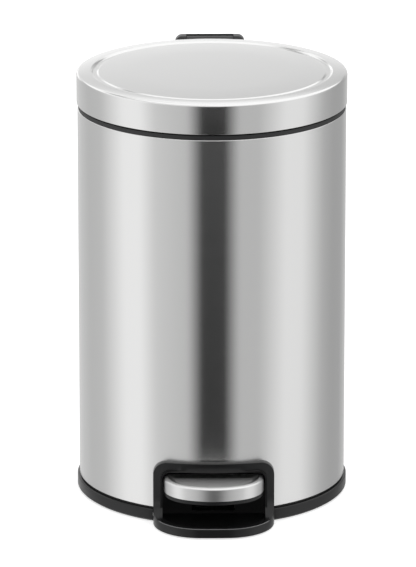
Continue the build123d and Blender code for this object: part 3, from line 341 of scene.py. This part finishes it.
def steel(name, stretch, rough=0.20, grip=0.95):
    """Brushed stainless sheet: fine hair lines, long one way, in roughness, tone and height."""
    f = Finish(bpy.data.materials.new(name))
    hair = f.noise(f.place(stretch), 1.0, 4.0, 0.65)
    cloud = f.noise(f.place(), 9.0, 2.0)
    level = (0.96 + 0.08 * hair) * (0.98 + 0.04 * cloud)
    tone = f.node("Mix", {"data_type": "RGBA"}, {0: level - 0.5, 6: STEEL_DARKER, 7: STEEL_LIGHTER})
    bump = f.node("Bump", inputs={"Strength": 0.012, "Distance": GRAIN_HEIGHT, "Height": hair})
    return f.surface(
        Base_Color=tone.outputs[2],
        Metallic=1.0,
        Roughness=rough + 0.06 * (hair - 0.5),
        Anisotropic=grip,
        Anisotropic_Rotation=0.25,
        Normal=bump.outputs[0],
    )


def plastic(name, colour, rough, lift=0.05, ior=1.45):
    """Moulded plastic: even colour with a fine satin grain that stands up by lift."""
    f = Finish(bpy.data.materials.new(name))
    grain = f.noise(f.place(), PLASTIC_GRAIN, 2.0)
    broad = f.noise(f.place(), 14.0, 3.0)
    bump = f.node("Bump", inputs={"Strength": lift, "Distance": GRAIN_HEIGHT, "Height": grain})
    rough_map = rough + 0.08 * (broad - 0.5) + 0.06 * (grain - 0.5)
    return f.surface(Base_Color=(*colour, 1.0), Roughness=rough_map, IOR=ior, Normal=bump.outputs[0])


def plain_metal(name, colour, rough):
    """Bare or plated metal with a slightly uneven shine."""
    f = Finish(bpy.data.materials.new(name))
    cloud = f.noise(f.place(), 60.0, 3.0)
    return f.surface(Base_Color=(*colour, 1.0), Metallic=1.0, Roughness=rough + 0.12 * (cloud - 0.5))


steel_upright = steel("brushed steel, shell", (7.0, 7.0, 1100.0))
steel_panel = steel("brushed steel, lid panel", (7.0, 900.0, 900.0), rough=0.17, grip=0.0)
steel_tread = steel("brushed steel, pedal top", (9.0, 900.0, 900.0), rough=0.52, grip=0.0)
steel_pedal = steel("brushed steel, pedal", (9.0, 900.0, 900.0), rough=0.34, grip=0.0)
black_plastic = plastic("black moulded plastic", (0.008, 0.0081, 0.0085), 0.30, ior=1.40)
# lighter grey plastic that paints the highlight of the tray lip's edge catching the light
lip_highlight_finish = plastic("painted highlight on the black tray lip", (0.16, 0.16, 0.162), 0.30)
coated = plastic("black-coated steel", (0.030, 0.030, 0.031), 0.45)
collar_plastic = plastic("dark grey collar plastic", (0.016, 0.0164, 0.017), 0.45)
bucket_plastic = plastic("bucket plastic", (0.050, 0.052, 0.056), 0.45)
acetal = plastic("natural acetal", (0.72, 0.71, 0.67), 0.38)
rubber = plastic("black rubber", (0.012, 0.012, 0.012), 0.75, lift=0.12)
plated = plain_metal("zinc-plated steel", (0.60, 0.60, 0.58), 0.32)
screw_metal = plain_metal("screw steel", (0.45, 0.45, 0.45), 0.36)
wire_metal = plain_metal("polished wire", (0.72, 0.72, 0.72), 0.14)

SLOT_FINISH = {
    "brushed_steel": steel_upright,
    "black_plastic": black_plastic,
    "bucket_plastic": bucket_plastic,
    "white_acetal": acetal,
    "foot_rubber": rubber,
    "plated_steel": plated,
    "screw_steel": screw_metal,
}
slot_of = {row["node"]: row["material_slot"] for row in frame["record"]["subparts"]}
for node, slot in slot_of.items():
    data = frame["nodes"][node].data
    data.materials.clear()
    data.materials.append(SLOT_FINISH[slot])


def stand_for(piece, body, material_slot, *nodes):
    """The piece replaces these nodes and rides on their body; material_slot is not used."""
    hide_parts(*nodes)
    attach(piece, body)


# ---------------------------------------------------------------- sizes read from the frame
shell_lo, shell_hi = span("outer_shell")
lid_lo, lid_hi = span("lid_cap")
arm_lo, arm_hi = span("lid_arm")
pedal_lo, pedal_hi = span("pedal_cap")
tray_lo, tray_hi = span("pedal_surround")
body_r = (shell_hi[0] - shell_lo[0]) / 2
lid_r = (lid_hi[0] - lid_lo[0]) / 2
sheet = 0.6 * MM
hem = 2.6 * MM

# ---------------------------------------------------------------- steel shell
tunnel_half = 49.7 * MM
tunnel_top = 54.2 * MM
bottom, top = shell_lo[2], shell_hi[2]
shell_profile = closed_rounded(
    [
        (body_r - hem, bottom, 0.1 * MM),
        (body_r, bottom, 0.7 * MM),
        (body_r, top, 0.7 * MM),
        (body_r - hem, top, 0.1 * MM),
        (body_r - hem, top - sheet, 0.1 * MM),
        (body_r - sheet, top - sheet, 0.2 * MM),
        (body_r - sheet, bottom + sheet, 0.2 * MM),
        (body_r - hem, bottom + sheet, 0.1 * MM),
    ]
)
shell = lathe("steel_shell", shell_profile, steel_upright)
cut_box(shell, (-tunnel_half, -2 * body_r, 0), (tunnel_half, 0, tunnel_top))
stand_for(shell, "can_body", "brushed_steel", "outer_shell")

# ---------------------------------------------------------------- lid
groove_inset = 14.0 * MM  # from the lid's edge to the groove
groove_width = 6.6 * MM
groove_depth = 1.8 * MM
groove_slope = 1.5 * MM  # width of each of the groove's sloping sides
panel_drop = 0.9 * MM  # the panel's edge lies this far below the rim's crest
dome_rise = 0.6 * MM  # the panel's middle stands this far above its edge
dome_flank = 34 * MM  # the dome falls fastest over this width inside the groove
dome_share = 0.42  # share of the rise that is left where the flank starts
rim_fall = 1.0 * MM  # the rim falls this far from its crest to the lid's edge
notch_front = 62 * MM  # the notch for the arm starts this far behind the can's axis
notch_gap = 1.0 * MM
arm_seat = 3.6 * MM  # the notch stops this far below the arm's top
right_through = 1.0  # metres, so that the notch's cutter passes below the lid

crest = lid_hi[2]
groove_out = lid_r - groove_inset
groove_in = groove_out - groove_width
panel = crest - panel_drop
valley = crest - groove_depth


def lid_face(depth):
    """The lid's section from its centre to the foot of its skirt, depth below the outer face."""
    r = lid_r - depth
    return [
        (0.0, panel + dome_rise - depth, 0),
        (groove_in - dome_flank, panel + dome_rise * dome_share - depth, 160 * MM),
        (groove_in, panel - depth, 1.2 * MM),
        (groove_in + groove_slope, valley - depth, 1.0 * MM),
        (groove_out - groove_slope, valley - depth, 1.0 * MM),
        (groove_out, crest - depth, 1.6 * MM),
        (r, crest - rim_fall - depth, 2.6 * MM - depth),
        (r, lid_lo[2] + (sheet if depth else 0.0), 0.5 * MM - depth / 2),
    ]


outer = rounded(lid_face(0.0) + [(lid_r - hem, lid_lo[2], 0)], 10)
inner = rounded(lid_face(sheet) + [(lid_r - hem, lid_lo[2] + sheet, 0)], 10)
lid = lathe("steel_lid", np.concatenate([outer, inner[::-1]]), steel_upright, closed=False)
notch_half = arm_hi[0] + notch_gap
cut_box(
    lid, (-notch_half, notch_front, lid_lo[2] - right_through), (notch_half, 2 * body_r, arm_hi[2] - arm_seat)
)
second_finish(lid, steel_panel, np.hypot(*face_rows(lid, "center")[:, :2].T) < lid_r - 0.4 * MM)
stand_for(lid, "lid", "brushed_steel", "lid_cap")

# ---------------------------------------------------------------- moulded and pressed pieces
# piece, the node it stands for, its body, its finish and the rounding of its edges in millimetres
EDGED = [
    ("moulded_base", "base_tray", "can_body", black_plastic, 0.5),
    ("pedal_frame", "pedal_surround", "can_body", black_plastic, 2.0),
    ("collar", "collar_ring", "can_body", collar_plastic, 0.3),
    ("hinge_hood", "hinge_housing", "can_body", black_plastic, 0.5),
    ("foot_rubber_ring", "foot_ring", "can_body", rubber, 0.3),
    ("inner_bucket", "bucket", "bucket", bucket_plastic, 0.4),
    ("inner_lid", "lid_liner", "lid", bucket_plastic, 0.5),
    ("hinge_arm", "lid_arm", "lid", coated, 0.3),
    ("carry_bail", "bucket_bail", "bail", wire_metal, 0.0),
    ("bail_sleeve", "bail_grip", "bail", bucket_plastic, 0.3),
    ("rod_cover", "mechanism_guard", "can_body", plated, 0.2),
    ("lever", "pedal_lever", "pedal", plated, 0.2),
    ("pedal_body", "pedal_core", "pedal", black_plastic, 0.4),
    ("long_rod", "push_rod", "lift", plated, 0.0),
]
for name, node, body, finish, edge in EDGED:
    stand_for(moulding(name, node, finish, edge * MM), body, slot_of[node], node)

# ---------------------------------------------------------------- pedal
ARC_POINTS = 60  # on each of a plan's two arcs
OUTLINE_POINTS = 260

pedal_half = pedal_hi[0]
pedal_front, pedal_back = pedal_lo[1], pedal_hi[1]
pedal_bow = 1.4 * pedal_half
pedal_corner = 0.73 * pedal_half
pedal_heel = 2 * MM  # the cut across each back corner
rim_inset = 4.0 * MM  # from the pedal's edge to the crest of its rim
dish_inset = 9.5 * MM  # from the edge to the foot of the rim's inner slope
floor_inset = 24.0 * MM  # from the edge to the level middle
dish_depth = 1.8 * MM
dish_fall = 0.2 * MM


def bowed_front(half, front, bow, corner, inset):
    """Right half of a plan with a bowed front, drawn in by inset: the bow's arc, then the corner's arc.

    A front arc of radius bow meets an arc of radius corner, which ends level with the straight side.
    """
    w, bow, corner = half - inset, bow - inset, corner - inset
    centre_y = front + inset + bow
    reach = bow - corner
    corner_x = w - corner
    corner_y = centre_y - math.sqrt(reach**2 - corner_x**2)
    swing = math.asin(corner_x / reach)
    a = np.linspace(0, 1, ARC_POINTS)[:, None]
    turn = swing + a[1:] * (math.pi / 2 - swing)
    arc = np.hstack([bow * np.sin(a * swing), centre_y - bow * np.cos(a * swing)])
    side = np.hstack([corner_x + corner * np.sin(turn), corner_y - corner * np.cos(turn)])
    return np.concatenate([arc, side])


def pedal_outline(inset):
    """Plan of the pedal drawn in by inset, as points spaced evenly along it."""
    right = bowed_front(pedal_half, pedal_front, pedal_bow, pedal_corner, inset)
    w, back_y = pedal_half - inset, pedal_back - inset
    right = np.concatenate([right, [[w, back_y - pedal_heel], [w - pedal_heel, back_y], [0, back_y]]])
    loop = np.concatenate([right, (right * [-1, 1])[::-1][1:]])
    run = np.concatenate([[0], np.cumsum(np.hypot(*np.diff(loop, axis=0).T))])
    at = np.linspace(0, run[-1], OUTLINE_POINTS, endpoint=False)
    return np.stack([np.interp(at, run, loop[:, 0]), np.interp(at, run, loop[:, 1])], 1)


def pedal_shape(name, section, finish):
    """The section of (inset, height) points carried round the pedal's outline, closed by two flat faces."""
    rings = np.array([np.column_stack([pedal_outline(i), np.full(OUTLINE_POINTS, z)]) for i, z in section])
    faces = grid_faces(len(section), OUTLINE_POINTS, wrap_cols=True)
    ring = np.arange(OUTLINE_POINTS)
    under, dish = ring[::-1].tolist(), (ring + (len(section) - 1) * OUTLINE_POINTS).tolist()
    return make_piece(name, rings.reshape(-1, 3), faces, finish, [dish, under])


rim_top = pedal_hi[2]
pressed = rim_top - dish_depth
pedal_section = rounded(
    [
        (0.9 * MM, pedal_lo[2], 0),
        (0.0, pedal_lo[2], 0.4 * MM),
        (0.0, rim_top - 0.5 * MM, 2.2 * MM),
        (rim_inset, rim_top, 3.0 * MM),
        (dish_inset, pressed, 3.0 * MM),
        (floor_inset, pressed - dish_fall, 0),
    ],
    8,
)
pedal_top = pedal_shape("steel_pedal", pedal_section, steel_pedal)
second_finish(pedal_top, steel_tread, face_rows(pedal_top, "normal")[:, 2] > 0.97)
stand_for(pedal_top, "pedal", "brushed_steel", "pedal_cap")

# ---------------------------------------------------------------- painted highlight: a lighter grey bead along the tray's lip
tray_bow = 400 * MM
tray_corner = 44 * MM
lip_rise = 8.2 * MM  # the lip's top above the tray's foot
bead_r = 0.65 * MM
bead_inset = 0.66 * MM
bead_drop = 0.25 * MM  # the bead's middle lies this far below the lip's top
bead_back = -136 * MM  # the bead ends here on both sides

lip = bowed_front(tray_hi[0], tray_lo[1], tray_bow, tray_corner, bead_inset)
lip = lip[lip[:, 1] < bead_back]
lip = np.concatenate([(lip * [-1, 1])[::-1], lip[1:]])
bead_path = np.column_stack([lip, np.full(len(lip), tray_lo[2] + lip_rise - bead_drop)])
# a lighter grey tube along the lip's top edge: a painted highlight where the edge catches the light
bead = level_tube("tray_lip_painted_highlight", bead_path, bead_r, lip_highlight_finish)
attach(bead, "can_body")

# ---------------------------------------------------------------- camera
CAMERA_DISTANCE = 4.9125
CAMERA_RISE = math.radians(16.55)
CAMERA_BEARING = math.radians(-0.8)
CAMERA_AIM = Vector((-0.0036, 0.0, 0.1963))
CAMERA_LENS = 332.5
CAMERA_SENSOR = 36.0


def make_camera():
    """The camera looks at the middle of the can from the front, a little above."""
    data = bpy.data.cameras.new("camera")
    camera = bpy.data.objects.new("camera", data)
    bpy.context.scene.collection.objects.link(camera)
    bpy.context.scene.camera = camera
    data.sensor_width = CAMERA_SENSOR
    data.lens = CAMERA_LENS
    level, lift = math.cos(CAMERA_RISE), math.sin(CAMERA_RISE)
    back = Vector((level * math.sin(CAMERA_BEARING), -level * math.cos(CAMERA_BEARING), lift))
    camera.location = CAMERA_AIM + CAMERA_DISTANCE * back
    camera.rotation_mode = "QUATERNION"
    camera.rotation_quaternion = back.to_track_quat("Z", "Y")
    data.clip_start, data.clip_end = 0.1, 60


make_camera()

# ---------------------------------------------------------------- floor and studio light
FLOOR_HALF = 9.0
FLOOR_DROP = 0.2 * MM  # keeps the floor clear of the foot ring's lower face
FLOOR_GREY = (0.70, 0.70, 0.70, 1.0)
WHITE = (1.0, 1.0, 1.0, 1.0)

# light of the studio walls by bearing: degrees from the can's front, positive towards +X
WALL_LIGHT = [
    (-180, 0.75),  # light wall behind the can
    (-130, 0.56),
    (-110, 0.60),
    (-82, 1.00),  # soft panel on the left, to -65
    (-65, 1.00),
    (-50, 0.70),
    (-22, 0.58),
    (-9, 0.01),  # dark gap behind the camera, to 10
    (10, 0.01),
    (23, 0.55),
    (40, 0.55),
    (65, 0.90),  # soft panel on the right, to 83
    (83, 0.90),
    (110, 0.50),
    (125, 0.42),  # dim corner, to 145
    (145, 0.42),
    (180, 0.75),
]
AHEAD_LIGHT = 0.66  # the wall above the dark gap
BACK_LIGHT = 0.62  # the upper part of the wall behind, brighter on the left
LOW_BACK_LIGHT = 0.44  # what is added to its lower part
CEILING_LIGHT = 1.22
FLAG_SHADE = 0.75  # share of the ceiling's light that a flag on the left takes away


def rise(value, start, width):
    """0 up to start, 1 past start + width, and a straight ramp between."""
    return ((value - start) / width).clamped()


def mixed(first, second, share):
    """The first value where share is 0, the second where it is 1."""
    return first * (1.0 - share) + second * share


corner_signs = [(-1, -1), (1, -1), (1, 1), (-1, 1)]
floor_points = [(FLOOR_HALF * x, FLOOR_HALF * y, -FLOOR_DROP) for x, y in corner_signs]
floor_finish = Finish(bpy.data.materials.new("lit white floor")).surface(
    Base_Color=FLOOR_GREY, Roughness=0.9, Emission_Color=WHITE, Emission_Strength=0.6
)
floor = make_piece("floor", floor_points, [(0, 1, 2, 3)], floor_finish)
floor.visible_glossy = False

world = bpy.data.worlds.new("studio")
bpy.context.scene.world = world
studio = Finish(world)
axes = studio.node("SeparateXYZ", inputs={0: studio.node("TexCoord").outputs["Generated"]})
east, north, up = (studio.value(axes.outputs[i]) for i in range(3))
south = 0.0 - north
bearing = east.math("ARCTAN2", east, south) / TAU + 0.5
stops = [(0.5 + degrees / 360, level) for degrees, level in WALL_LIGHT]
walls = studio.value(studio.node("ValToRGB", {"stops": stops}, {0: bearing}).outputs[0])

ahead = rise(south, 0.80, 0.15) * rise(up, 0.15, 0.09)
back_wall = BACK_LIGHT + LOW_BACK_LIGHT * (1.0 - rise(up, 0.19, 0.09)) - east
behind = rise(north, 0.80, 0.15) * rise(up, -0.02, 0.06)
flag = (1.0 - (abs(up - 0.70) / 0.10).clamped()) * ((0.12 - east) / 0.25).clamped()
overhead = CEILING_LIGHT * (1.0 - FLAG_SHADE * flag)

light = mixed(walls, AHEAD_LIGHT, ahead)
light = mixed(light, back_wall, behind)
light = mixed(light, overhead, rise(up, 0.33, 0.12))
grey = studio.node("CombineColor", inputs={"Red": light, "Green": light, "Blue": light})
background = studio.node("Background", inputs={"Color": grey.outputs[0], "Strength": 1.0})
studio.node("OutputWorld", inputs={"Surface": background.outputs[0]})
bpy.context.scene.view_settings.view_transform = "Standard"
